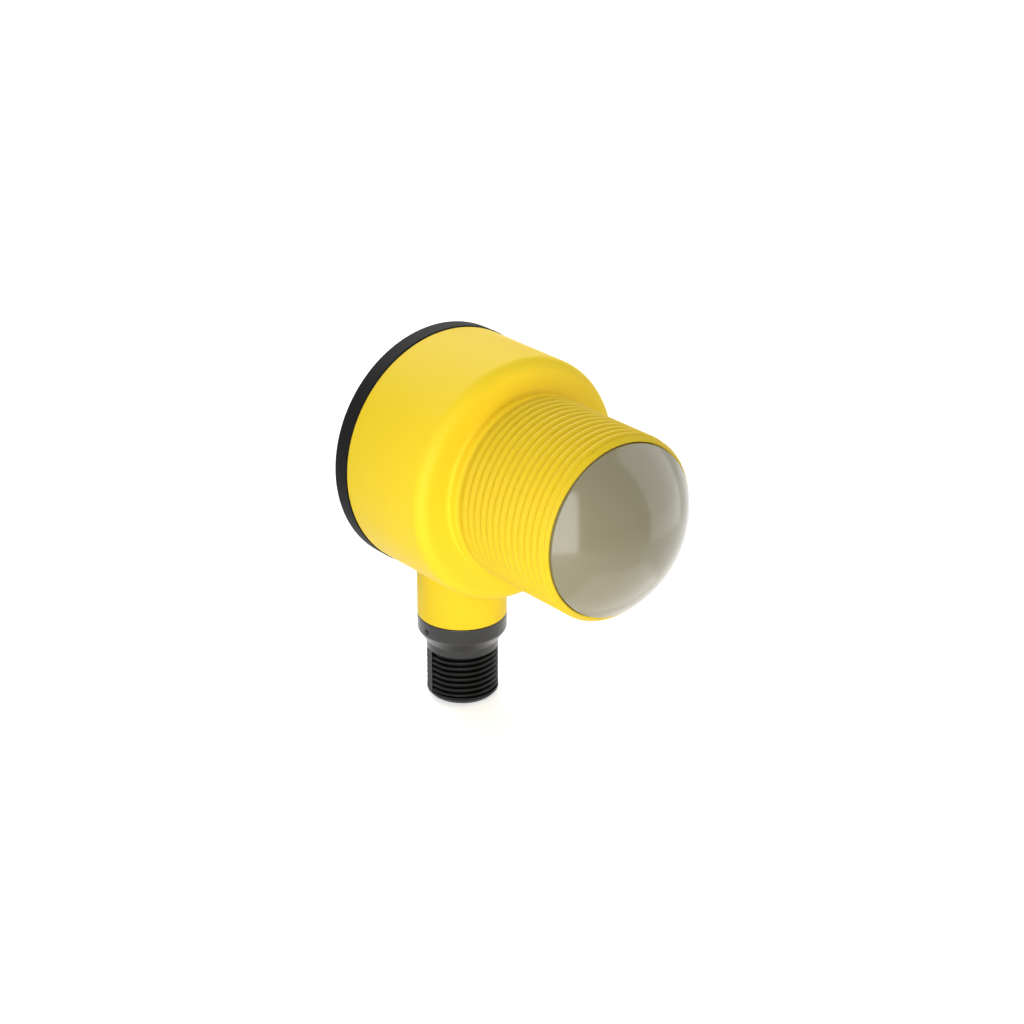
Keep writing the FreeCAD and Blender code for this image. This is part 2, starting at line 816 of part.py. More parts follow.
def capacitor_columns(name, offset, sides, place):
    """Columns of three small capacitors, left (-1) or right (+1) of the board's middle."""
    items = []
    for side in sides:
        for step in (-1, 0, 1):
            items.append(
                place(
                    name,
                    offset * side,
                    s.chip_capacitor_pitch * step,
                    s.chip_capacitor_length,
                    s.chip_capacitor_width,
                    s.chip_capacitor_height,
                )
            )
    return items


def make_radar_board():
    """Round board at the barrel's inner seat, with the radar chip on the axis."""
    diameter = (bore_radius - s.radar_board_fit) * 2
    board = rod_along_y("radar_board", (0, radar_board_front_y, 0), diameter, s.board_thickness)
    keep(board, "radar_board")
    chip = on_radar_board("radar_chip", 0, 0, s.radar_chip_side, s.radar_chip_side, s.radar_chip_height)
    keep(chip, "radar_chip")
    beside_chip = s.radar_chip_side / 2 + s.radar_chip_gap
    package_depth = ledge_radius - s.radar_edge_gap - beside_chip
    package_z = beside_chip + package_depth / 2
    memory = on_radar_board("radar_memory", 0, -package_z, s.memory_width, package_depth, s.memory_height)
    keep(memory, "radar_memory")
    crystal = on_radar_board("timing_crystal", 0, package_z, s.crystal_width, package_depth, s.crystal_height)
    keep(crystal, "timing_crystal")
    capacitor_x = (s.radar_chip_side / 2 + ledge_radius) / 2
    capacitors = capacitor_columns("radar_capacitor", capacitor_x, (-1, 1), on_radar_board)
    keep(group("radar_capacitors", capacitors), "radar_capacitors")


def link_grid():
    """Places of the link's pins about the barrel's axis."""
    places = []
    for column in range(SIZES["link_columns"]):
        for line in range(SIZES["link_rows"]):
            across = column - (SIZES["link_columns"] - 1) / 2
            up = line - (SIZES["link_rows"] - 1) / 2
            places.append((s.link_pitch * across, s.link_pitch * up))
    return places


def link_holes(name, start, length):
    """Rods that clear the link's pins, to be cut from a block or board."""
    diameter = s.link_pin_diameter + s.link_hole_fit * 2
    return [rod_along_y(name, (x, start, z), diameter, length) for x, z in link_grid()]


def make_link():
    """Pins that join the two boards, their header on the main board and socket on the radar board."""
    width = link_half_width * 2
    depth = link_half_depth * 2
    mouth_y = radar_board_back_y + s.socket_height
    pin_start = mouth_y - s.link_pin_engagement
    socket_middle = radar_board_back_y + s.socket_height / 2
    socket = box_at("socket_block", (0, socket_middle, 0), (width, s.socket_height, depth))
    socket_holes = link_holes("socket_hole", pin_start - s.link_margin, s.link_pin_engagement + s.cut_past)
    keep(cut("header_socket", socket, group("socket_holes", socket_holes)), "header_socket")
    header_y = main_board_front_y - s.header_height
    header = box_at("header_block", (0, header_y + s.header_height / 2, 0), (width, s.header_height, depth))
    header_holes = link_holes("header_hole", header_y - s.cut_past, s.header_height + s.cut_past * 2)
    keep(cut("header_body", header, group("header_holes", header_holes)), "header_body")
    length = main_board_back_y + s.link_pin_tail - pin_start
    pins = [
        rod_along_y("link_pin", (x, pin_start, z), s.link_pin_diameter, length)
        for x, z in link_grid()
    ]
    keep(group("header_pins", pins), "header_pins")


def make_main_board():
    """Round board on the housing's bosses, with the electronics on both faces."""
    disc = rod_along_y("board_disc", (0, main_board_front_y, 0), main_board_radius * 2, s.board_thickness)
    hole_start = main_board_front_y - s.cut_past
    hole_length = s.board_thickness + s.cut_past * 2
    hole_diameter = s.screw_diameter + s.screw_board_fit * 2
    holes = link_holes("board_pin_hole", hole_start, hole_length)
    for x, z in boss_places:
        holes.append(rod_along_y("board_screw_hole", (x, hole_start, z), hole_diameter, hole_length))
    keep(cut("main_board", disc, group("board_holes", holes)), "main_board")
    side = s.processor_side
    processor_x = -(link_half_width + s.processor_gap + side / 2)
    processor = under_main_board("processor", processor_x, s.processor_rise, side, side, s.processor_height)
    keep(processor, "processor")
    driver_z = -(link_half_depth + s.driver_gap + s.driver_depth / 2)
    driver = on_main_board("output_driver", 0, driver_z, s.driver_width, s.driver_depth, s.driver_height)
    keep(driver, "output_driver")
    coil_z = link_half_depth + s.coil_gap + s.coil_side / 2
    coil = on_main_board("power_coil", 0, coil_z, s.coil_side, s.coil_side, s.coil_height)
    keep(coil, "power_coil")
    storage_x = main_board_radius - s.storage_inset
    storage = [
        rod_along_y(
            "storage_capacitor",
            (storage_x * side, main_board_back_y, s.storage_rise),
            s.storage_diameter,
            s.storage_height,
        )
        for side in (-1, 1)
    ]
    keep(group("storage_capacitors", storage), "storage_capacitors")
    surge_x = s.driver_width / 2 + s.surge_gap + s.surge_width / 2
    diodes = [
        on_main_board("surge_diode", surge_x * side, driver_z, s.surge_width, s.surge_depth, s.surge_height)
        for side in (-1, 1)
    ]
    keep(group("surge_diodes", diodes), "surge_diodes")
    small_x = link_half_width + s.small_capacitor_gap + s.chip_capacitor_length / 2
    small = capacitor_columns("small_capacitor", small_x, (1,), under_main_board)
    keep(group("small_capacitors", small), "small_capacitors")
    lights = [
        on_main_board("indicator_led", x, light_z, s.led_length, s.led_width, s.led_height)
        for x in light_places
    ]
    keep(group("indicator_leds", lights), "indicator_leds")


def make_board_screws():
    """Screws with a crossed slot that hold the main board on its bosses."""
    screws = []
    tip_y = main_board_back_y - s.screw_length
    slot_y = main_board_back_y + s.screw_head_height - s.screw_slot_depth / 2
    level_slot = (s.screw_slot_length, s.screw_slot_depth, s.screw_slot_width)
    upright_slot = (s.screw_slot_width, s.screw_slot_depth, s.screw_slot_length)
    for x, z in boss_places:
        shank = rod_along_y("screw_shank", (x, tip_y, z), s.screw_diameter, s.screw_length)
        seat = (x, main_board_back_y, z)
        head = rod_along_y("screw_head", seat, s.screw_head_diameter, s.screw_head_height)
        slots = [box_at("screw_slot", (x, slot_y, z), size) for size in (level_slot, upright_slot)]
        screws.append(cut("board_screw", fused("screw_blank", [shank, head]), fused("screw_cross", slots)))
    keep(group("board_screws", screws), "board_screws")


def make_connector_shell():
    """Black shell: spigot in the stem, collar, cone, neck and M12 thread around the plug's socket."""
    body = new_body("connector_shell")
    bind(body, Placement__Base__y=stem_y)
    thread_root = connector_radius - s.connector_thread_depth
    wall_middle = (thread_root + socket_radius) / 2
    seal_top = shell_top_z - s.shell_seal_inset
    seal_groove = groove_outline(
        seal_top - s.shell_seal_groove,
        stem_bore_radius,
        shell_spigot_radius,
        s.shell_seal_thickness,
        s.shell_seal_groove,
    )
    outline = [
        (carrier_seat_radius, shell_top_z),
        (shell_spigot_radius, shell_top_z),
        *upright(reversed(seal_groove)),
        (shell_spigot_radius, stem_end_z),
        (stem_radius - s.seam_rounding, stem_end_z),
        (stem_radius, stem_end_z - s.seam_rounding, s.seam_rounding, -1),
        (stem_radius, collar_end_z),
        (connector_radius, cone_end_z),
        (connector_radius, neck_end_z),
        (thread_root, neck_end_z),
        (thread_root, thread_end_z),
        (connector_radius, thread_end_z),
        (connector_radius, connector_end_z + s.connector_chamfer_height),
        (connector_radius - s.connector_chamfer_width, connector_end_z),
        (socket_radius, connector_end_z),
        (socket_radius, carrier_seat_z),
        (carrier_seat_radius, carrier_seat_z),
    ]
    turning = turned(body, "Revolution", "XZ_Plane", "Z_Axis", outline)
    document.recompute()
    collar_edges = [
        f"Edge{number}"
        for number, edge in enumerate(turning.Shape.Edges, start=1)
        if edge.isClosed()
        and abs(edge.BoundBox.ZMin - collar_end_z.value) < 0.001
        and abs(edge.BoundBox.ZMax - collar_end_z.value) < 0.001
    ]
    rounding = body.newObject("PartDesign::Fillet", "collar_rounding")
    rounding.Base = (turning, collar_edges)
    bind(rounding, Radius=s.collar_rounding)

    # Two upright webs, left by the mould's parting, that the thread's ridge ends in
    web_sketch = new_sketch(body, "XY_Plane", thread_end_z, s.parting_web_turn)
    web_top = connector_radius - s.crest_below_land / 2
    half = s.parting_web_width / 2
    for side in (-1, 1):
        corners = [(wall_middle, -half), (web_top, -half), (web_top, half), (wall_middle, half)]
        draw_outline(web_sketch, [(x * side, y) for x, y in corners][::side])
    extruded(body, "Pad", web_sketch, s.connector_thread_length)

    turns = whole_turns(s.connector_thread_length - s.connector_thread_start, s.connector_pitch)
    first_ridge = neck_end_z - s.connector_thread_start - s.connector_pitch * turns
    ridge = ridge_outline(
        first_ridge,
        connector_radius - s.crest_below_land,
        s.connector_thread_depth,
        s.connector_pitch - s.connector_ridge_gap,
        s.connector_crest_width,
        s.connector_crest_radius,
    )
    thread_sketch = draw_outline(new_sketch(body, "YZ_Plane"), upright(ridge))
    add_thread(body, "Z_Axis", thread_sketch, s.connector_pitch, turns)

    # Coding key along the socket's wall
    key_sketch = new_sketch(body, "XY_Plane", connector_end_z + s.key_inset)
    key_half = s.key_width / 2
    key_top = socket_radius - s.key_height
    key_corners = [(key_top, -key_half), (wall_middle, -key_half), (wall_middle, key_half), (key_top, key_half)]
    draw_outline(key_sketch, key_corners)
    extruded(body, "Pad", key_sketch, s.socket_depth - s.key_inset)

    # A dimple on each side of the collar
    dimples = []
    for side in (-1, 1):
        dimple_sketch = new_sketch(body, "YZ_Plane", stem_radius * side)
        draw_circle(dimple_sketch, 0, stem_end_z - s.dimple_drop, s.dimple_diameter / 2)
        dimples.append(extruded(body, "Pocket", dimple_sketch, s.dimple_depth, backwards=side < 0))
    document.recompute()
    check_cut(dimples[0], dimples[1], "dimple")
    keep(body, "connector_shell")
    o_ring(
        "connector_seal",
        stem_bore_radius,
        s.shell_seal_thickness,
        seal_top - s.shell_seal_groove / 2,
        False,
    )


def make_contact_carrier():
    """Insulator in the shell, seated on its step, with a hole for each pin."""
    body = new_body("contact_carrier")
    bind(body, Placement__Base__y=stem_y)
    nose = socket_radius - s.carrier_fit
    flange = carrier_seat_radius - s.carrier_fit
    outline = [
        (0, carrier_nose_z),
        (nose, carrier_nose_z),
        (nose, carrier_seat_z),
        (flange, carrier_seat_z),
        (flange, carrier_top_z),
        (0, carrier_top_z),
    ]
    blank = turned(body, "Revolution", "XZ_Plane", "Z_Axis", outline)
    hole_sketch = new_sketch(body, "XY_Plane", carrier_nose_z)
    for x, y in pin_places:
        draw_circle(hole_sketch, x, y, s.pin_diameter / 2 + s.pin_fit)
    hole_depth = carrier_top_z - carrier_nose_z + s.cut_past
    holes = extruded(body, "Pocket", hole_sketch, hole_depth, backwards=True)
    document.recompute()
    check_cut(blank, holes, "pin holes")
    keep(body, "contact_carrier")


def make_contact_pins():
    """Round pins with chamfered tips."""
    pins = []
    tip_z = connector_end_z + s.pin_recess
    for x, y in pin_places:
        tip = document.addObject("Part::Cone", "pin_tip")
        bind(tip, Radius1=s.pin_diameter / 2 - s.pin_tip_chamfer, Radius2=s.pin_diameter / 2)
        bind(tip, Height=s.pin_tip_chamfer)
        shank = document.addObject("Part::Cylinder", "pin_shank")
        shank_z = tip_z + s.pin_tip_chamfer
        bind(shank, Radius=s.pin_diameter / 2, Height=pin_tail_z - shank_z)
        for item, z in ((tip, tip_z), (shank, shank_z)):
            bind(item, Placement__Base__x=x, Placement__Base__y=y + stem_y, Placement__Base__z=z)
        pins.append(fused("contact_pin", [tip, shank]))
    keep(group("contact_pins", pins), "contact_pins")


def rounded_path(points):
    """Straight runs through the points, joined by tangent arcs as large as the runs allow."""
    edges = []
    start = points[0]
    for before, corner, after in zip(points, points[1:], points[2:]):
        inward = before - corner
        outward = after - corner
        reach = 0.45 * min(inward.Length, outward.Length)
        inward.normalize()
        outward.normalize()
        first = corner + inward * reach
        last = corner + outward * reach
        half_turn = (math.pi - inward.getAngle(outward)) / 2
        radius = reach / math.tan(half_turn)
        bisector = (inward + outward).normalize()
        centre = corner + bisector * (radius / math.cos(half_turn))
        middle = centre - bisector * radius
        edges.append(Part.LineSegment(start, first).toShape())
        edges.append(Part.Arc(first, middle, last).toShape())
        start = last
    edges.append(Part.LineSegment(start, points[-1]).toShape())
    return Part.Wire(edges)


def make_lead(node, pin, passage, pad):
    """Insulated wire from a pin's tail up through the stem's passage to its pad on the main board."""
    vector = FreeCAD.Vector
    way_y = passage_y + passage[1]
    exit_z = s.passage_exit - cavity_radius
    stops = [
        (pin[0], pin[1] + stem_y, pin_tail_z),
        (pin[0], pin[1] + stem_y, pin_tail_z + s.lead_first_run),
        (passage[0], way_y, stem_bore_top_z + s.passage_entry),
        (passage[0], way_y - s.passage_lean, exit_z),
        (pad[0], main_board_back_y + s.lead_last_run, pad[1]),
        (pad[0], main_board_back_y, pad[1]),
    ]
    points = [vector(*(place.value for place in stop)) for stop in stops]
    path = rounded_path(points)
    section = Part.Wire(Part.makeCircle(s.lead_diameter.value / 2, points[0], vector(0, 0, 1)))
    lead = document.addObject("Part::Feature", node)
    lead.Shape = path.makePipeShell([section], True, True)
    expected = math.pi * (s.lead_diameter.value / 2) ** 2 * path.Length
    if abs(lead.Shape.Volume - expected) > 0.02 * expected:
        raise RuntimeError(node + " is not as thick as its wire")
    keep(lead, node)


def make_leads():
    """Five leads, spread across the passage so that they stay clear of each other."""
    low = s.pad_inset - main_board_radius
    high = low + s.pad_stagger
    middle = s.pad_spacing * 0
    inner = s.pad_spacing
    outer = s.pad_spacing * 2
    make_lead("lead_brown", pin_places[0], (s.rear_lead_across, s.rear_lead_back), (inner, high))
    make_lead("lead_white", pin_places[1], (-s.rear_lead_across, s.rear_lead_back), (-inner, high))
    make_lead("lead_blue", pin_places[2], (-s.front_lead_across, -s.front_lead_ahead), (-outer, low))
    make_lead("lead_black", pin_places[3], (s.front_lead_across, -s.front_lead_ahead), (outer, low))
    make_lead("lead_grey", pin_places[4], (middle, -s.middle_lead_ahead), (middle, low))


def check_and_write():
    """Refuse any failed object or unsound shape, then write each sub-part under its own name."""
    document.recompute()
    for item in document.Objects:
        if "Invalid" in item.State or "Error" in item.State:
            raise RuntimeError(f"{item.Name} ({item.Label}) did not compute: {item.State}")
    for item in subparts:
        if item.Shape.isNull() or not item.Shape.isValid():
            raise RuntimeError(item.Label + " has no sound shape")
    os.makedirs("parts", exist_ok=True)
    for item in subparts:
        item.Shape.exportStep(f"parts/{item.Label}.step")
        print(f"{item.Label}: {len(item.Shape.Solids)} solid(s), {item.Shape.Volume:.1f} cubic mm")


make_housing()
make_rear_cover()
make_light_guides()
make_lens()
make_antenna_holder()
make_radar_board()
make_link()
make_main_board()
make_board_screws()
make_connector_shell()
make_contact_carrier()
make_contact_pins()
make_leads()
check_and_write()
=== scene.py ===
import json
import math

import bpy
import numpy as np
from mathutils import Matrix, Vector


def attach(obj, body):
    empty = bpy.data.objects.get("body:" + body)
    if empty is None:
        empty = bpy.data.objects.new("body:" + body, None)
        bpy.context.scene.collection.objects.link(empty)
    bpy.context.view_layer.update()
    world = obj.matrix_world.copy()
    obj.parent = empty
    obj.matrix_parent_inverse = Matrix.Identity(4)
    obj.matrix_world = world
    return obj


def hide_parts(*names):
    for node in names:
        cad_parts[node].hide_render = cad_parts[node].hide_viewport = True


# Radar sensor. Sizes below are in millimetres, in the frame's directions: the lens looks along -Y.

MM = 0.001
TURN = 2 * math.pi

# Housing
BODY_RADIUS = 20.15
BODY_FRONT = 1.25
BODY_END = 20.25
SHOULDER_FILLET = 2.1
CAVITY_RADIUS = 18.15
CAVITY_FRONT = 3.25
SEAT_RADIUS = 11.2
SEAT_FRONT = -1.8
BORE_RADIUS = 12.9
BARREL_RADIUS = 15.0
RELIEF_RADIUS = 14.5
RELIEF_RAMP = 0.31
RELIEF_FILLET = 0.8
RIM = -22.1
LENS_SEAT = -20.7
MOUTH_RADIUS = 13.95
RIM_CHAMFER_LENGTH = 1.05
RIM_CHAMFER_DEPTH = 0.78
RIM_CHAMFER_ROUNDING = 0.3
SEAM_ROUNDING = 0.2
RELIEF_ROUNDING = 0.15
LAND_ROUNDING = 0.08
EDGE_ROUNDING = 0.06
BARREL_ROOT = 14.5
BARREL_CREST = 14.98
BARREL_PITCH = 1.5
BARREL_TURNS = 13
BARREL_LAST_RIDGE = -1.62
BARREL_FIRST_RIDGE = BARREL_LAST_RIDGE - BARREL_TURNS * BARREL_PITCH
BARREL_LAND = -0.95
BARREL_RUNOUT = 0.3
BARREL_RIDGE_WIDTH = 1.3
BARREL_CREST_WIDTH = 0.9
BARREL_CREST_RADIUS = 0.62
BARREL_RIDGE = (BARREL_ROOT, BARREL_CREST, BARREL_RIDGE_WIDTH, BARREL_CREST_WIDTH, BARREL_CREST_RADIUS)
BARREL_START = 1.5 * math.pi
RIM_OVERLAP = 0.02

# Stem and connector
STEM_PLACE = 16.75
STEM_RADIUS = 7.45
STEM_END = -28.5
STEM_BORE_RADIUS = 6.4
STEM_BORE_TOP = -21.95
STEM_ROUNDING = 0.3
STEM_BURIED = 0.6
SADDLE_RADIUS = 20.45
COLLAR_END = -31.05
CONE_END = -33.15
NECK_END = -34.45
THREAD_END = -41.9
CONNECTOR_END = -43.1
CONNECTOR_CHAMFER = 0.75
CONNECTOR_CHAMFER_WIDTH = 0.65
CONNECTOR_RADIUS = 6.0
CONNECTOR_ROOT = 5.45
CONNECTOR_CREST = 5.98
CONNECTOR_PITCH = 1.0
CONNECTOR_TURNS = 7
CONNECTOR_FIRST_RIDGE = -34.79
CONNECTOR_RIDGE_WIDTH = 0.8
CONNECTOR_CREST_WIDTH = 0.3
CONNECTOR_CREST_RADIUS = 0.22
CONNECTOR_RIDGE = (
    CONNECTOR_ROOT,
    CONNECTOR_CREST,
    CONNECTOR_RIDGE_WIDTH,
    CONNECTOR_CREST_WIDTH,
    CONNECTOR_CREST_RADIUS,
)
CONNECTOR_START = math.pi / 2
CONNECTOR_END_ROUNDING = 0.1
COLLAR_ROUNDING = 0.8
CONE_ROUNDING = 0.3
WEB_WIDTH = 1.05
WEB_TURN = math.radians(168.8)
WEB_TOP = 5.99
WEB_EDGE_TURN = 0.004
SOCKET_RADIUS = 4.3
SOCKET_TOP = -34.6
KEY_WIDTH = 1.0
KEY_TOP_RADIUS = 3.6
KEY_END = -42.5
KEY_ROUNDING = 0.12
KEY_BURIED = 0.2
KEY_TAPER = 0.1
SPIGOT_RADIUS = 6.3
SPIGOT_TOP = -24.0
DIMPLE_HEIGHT = -30.1
DIMPLE_RADIUS = 0.45
DIMPLE_DEPTH = 0.6

# Lens
DOME_RADIUS = 18.8
LENS_RADIUS = 13.85
LENS_FOOT = -22.53
LENS_BACK = -17.2
LENS_SPIGOT_RADIUS = 12.8
LENS_FOOT_STEP = 0.03

# Photograph's camera
CAMERA_AZIMUTH = math.radians(-39.292)
CAMERA_ELEVATION = math.radians(24.2365)
CAMERA_DISTANCE = 387.79
CAMERA_ACROSS = 0.201
CAMERA_UP = -5.499
CAMERA_ORIGIN = Vector((0, 3.95, 0))
CAMERA_LENS = 86.27
CAMERA_SENSOR = 36
CAMERA_NEAR = 10.0

# How the surfaces are drawn: points, steps, poles, ridges sunk below their root, sharp edges
AROUND = 256
STEM_AROUND = 160
STEM_ROWS = 24
CONNECTOR_AROUND = 224
STATIONS = 192
DOME_ROWS = 64
DOME_START = 0.01
RIM_STEP = 0.07
CONNECTOR_STEP = 0.09
PROFILE_HAIR = 0.001
PROFILE_MARGIN = 0.3
FLANK_POINTS = 4
CREST_POINTS = 11
POLE_RADIUS = 0.5
RIDGE_BURIED = 0.2
STEP_TURN = 1e-4
SHARP_ANGLE = math.radians(32)

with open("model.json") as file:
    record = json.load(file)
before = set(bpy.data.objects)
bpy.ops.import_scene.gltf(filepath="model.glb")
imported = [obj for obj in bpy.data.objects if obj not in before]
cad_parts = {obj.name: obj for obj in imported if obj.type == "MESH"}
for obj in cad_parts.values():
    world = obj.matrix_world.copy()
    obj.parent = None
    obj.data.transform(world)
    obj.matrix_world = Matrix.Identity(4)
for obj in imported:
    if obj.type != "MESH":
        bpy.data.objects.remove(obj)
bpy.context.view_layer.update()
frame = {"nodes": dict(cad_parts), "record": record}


# Shapes


def rounded(corners, steps=6):
    """Profile through (a, b, radius) corners: each corner becomes an arc tangent to its two sides."""
    points = []
    count = len(corners)
    for number, (a, b, radius) in enumerate(corners):
        corner = np.array((a, b), float)
        if radius == 0:
            points.append(corner[None])
            continue
        before = np.array(corners[number - 1][:2], float) - corner
        after = np.array(corners[(number + 1) % count][:2], float) - corner
        before /= np.linalg.norm(before)
        after /= np.linalg.norm(after)
        half = math.acos(np.clip(before @ after, -1, 1)) / 2
        middle = (before + after) / np.linalg.norm(before + after)
        centre = corner + middle * radius / math.sin(half)
        first = corner + before * radius / math.tan(half) - centre
        last = corner + after * radius / math.tan(half) - centre
        start = math.atan2(first[1], first[0])
        sweep = (math.atan2(last[1], last[0]) - start + math.pi) % TURN - math.pi
        angles = start + sweep * np.linspace(0, 1, steps + 1)
        points.append(centre + radius * np.stack((np.cos(angles), np.sin(angles)), -1))
    return np.concatenate(points)


def filled(points, step, fine):
    """The closed profile with points added on its fine sides.

    There no two neighbours lie further apart than a step."""
    parts = []
    for start, end, wanted in zip(points, np.roll(points, -1, 0), fine):
        pieces = max(1, math.ceil(np.linalg.norm(end - start) / step)) if wanted else 1
        parts.append(start + (end - start) * (np.arange(pieces) / pieces)[:, None])
    return np.concatenate(parts)


def ridge_height(distance, root, crest, width, crest_width, crest_radius):
    """Radius of a rounded ridge by the distance from its middle.

    It is an arc over the crest's width, then a straight flank down to the root."""
    away = np.abs(distance)
    half_crest = crest_width / 2
    rise = crest_radius - np.sqrt(crest_radius ** 2 - np.minimum(away, half_crest) ** 2)
    edge = crest - crest_radius + math.sqrt(crest_radius ** 2 - half_crest ** 2)
    flank = np.clip((away - half_crest) / (width / 2 - half_crest), 0, 1)
    return crest - rise - flank * (edge - root)


def helical_ridge(
    start, turns, first, climb, root, crest, width, crest_width, crest_radius, limit=None
):
    """A rounded ridge carried round a helix: its angle, its place along the axis and its radius.

    At a turn t the angle is start - 2 pi t and the middle lies at first + climb t.
    The section runs over the ridge and closes below the root; a limit cuts its lower side off."""
    t = np.linspace(0, turns, turns * STATIONS + 1)[:, None]
    half, half_crest = width / 2, crest_width / 2
    flank = np.linspace(half_crest, half, FLANK_POINTS)
    arc = np.linspace(-half_crest, half_crest, CREST_POINTS)[1:-1]
    offsets = np.concatenate((-flank[::-1], arc, flank))
    middle = first + climb * t
    low = -half + 0 * t if limit is None else np.maximum(-half, limit - middle)
    offset = low + (offsets / width + 0.5) * (half - low)
    radius = ridge_height(offset, root, crest, width, crest_width, crest_radius)
    buried = np.full(t.shape, root - RIDGE_BURIED)
    offset = np.concatenate((offset, half + 0 * t, low), 1)
    radius = np.concatenate((radius, buried, buried), 1)
    return start - TURN * t, middle + offset, radius


def grid_faces(rows, columns, loop):
    """Quads of a grid whose columns close on themselves, and whose rows do too if it is a loop."""
    row = np.arange(rows if loop else rows - 1)[:, None]
    column = np.arange(columns)[None]
    below, right = (row + 1) % rows, (column + 1) % columns
    corners = (
        row * columns + column,
        row * columns + right,
        below * columns + right,
        below * columns + column,
    )
    return np.stack(np.broadcast_arrays(*corners), -1).reshape(-1, 4)


def closed_shell(points, loop=False):
    """Points (rows, columns, 3) as a closed shell: a loop of rows, or capped at both ends by a pole.

    Where its volume comes out negative the faces are turned, so that they look outward."""
    rows, columns = points.shape[:2]
    vertices = points.reshape(-1, 3)
    quads = grid_faces(rows, columns, loop)
    if loop:
        triangles = np.zeros((0, 3), int)
    else:
        poles = len(vertices) + np.arange(2)
        vertices = np.concatenate((vertices, points[[0, -1]].mean(1)))
        column = np.arange(columns)
        right = (column + 1) % columns
        end = (rows - 1) * columns
        first = np.stack((right, column, np.full(columns, poles[0])), -1)
        last = np.stack((end + column, end + right, np.full(columns, poles[1])), -1)
        triangles = np.concatenate((first, last))
    a, b, c, d = (vertices[quads[:, i]] for i in range(4))
    volume = np.einsum("ij,ij->", a, np.cross(b, c)) + np.einsum("ij,ij->", a, np.cross(c, d))
    if len(triangles):
        p, q, r = (vertices[triangles[:, i]] for i in range(3))
        volume += np.einsum("ij,ij->", p, np.cross(q, r))
    if volume < 0:
        quads, triangles = quads[:, ::-1], triangles[:, ::-1]
    return vertices, quads, triangles


def make_piece(name, shells):
    """One mesh object out of closed shells in millimetres, smooth except where faces meet sharply."""
    vertices, loops, sizes, start = [], [], [], 0
    for points, quads, triangles in shells:
        vertices.append(points)
        loops += [(quads + start).ravel(), (triangles + start).ravel()]
        sizes += [np.full(len(quads), 4), np.full(len(triangles), 3)]
        start += len(points)
    vertices = np.concatenate(vertices) * MM
    loops = np.concatenate(loops).astype(np.int32)
    sizes = np.concatenate(sizes).astype(np.int32)
    mesh = bpy.data.meshes.new(name)
    mesh.vertices.add(len(vertices))
    mesh.vertices.foreach_set("co", vertices.astype(np.float32).ravel())
    mesh.loops.add(len(loops))
    mesh.loops.foreach_set("vertex_index", loops)
    mesh.polygons.add(len(sizes))
    mesh.polygons.foreach_set("loop_start", (np.cumsum(sizes) - sizes).astype(np.int32))
    mesh.update(calc_edges=True)
    mesh.validate()
    mesh.polygons.foreach_set("use_smooth", np.ones(len(mesh.polygons), bool))
    mesh.set_sharp_from_angle(angle=SHARP_ANGLE)
    item = bpy.data.objects.new(name, mesh)
    bpy.context.scene.collection.objects.link(item)
    return item


def full_turn(count):
    """Angles spaced evenly round a full turn."""
    return np.arange(count) / count * TURN


def spread(profile, angle):
    """A profile's two coordinates as two grids, which repeat it at every angle."""
    first, second = profile.T
    return first[:, None] + 0 * angle, second[:, None] + 0 * angle


def about_y(along, radius, angle):
    """Points at a distance from the barrel's axis: angle 0 is +X and a quarter turn is +Z."""
    x, z = radius * np.cos(angle), radius * np.sin(angle)
    return np.stack(np.broadcast_arrays(x, along, z), -1)


def about_stem(radius, angle, height):
    """Points at a distance from the stem's axis: angle 0 is +X and a quarter turn is +Y."""
    x, y = radius * np.cos(angle), STEM_PLACE + radius * np.sin(angle)
    return np.stack(np.broadcast_arrays(x, y, height), -1)


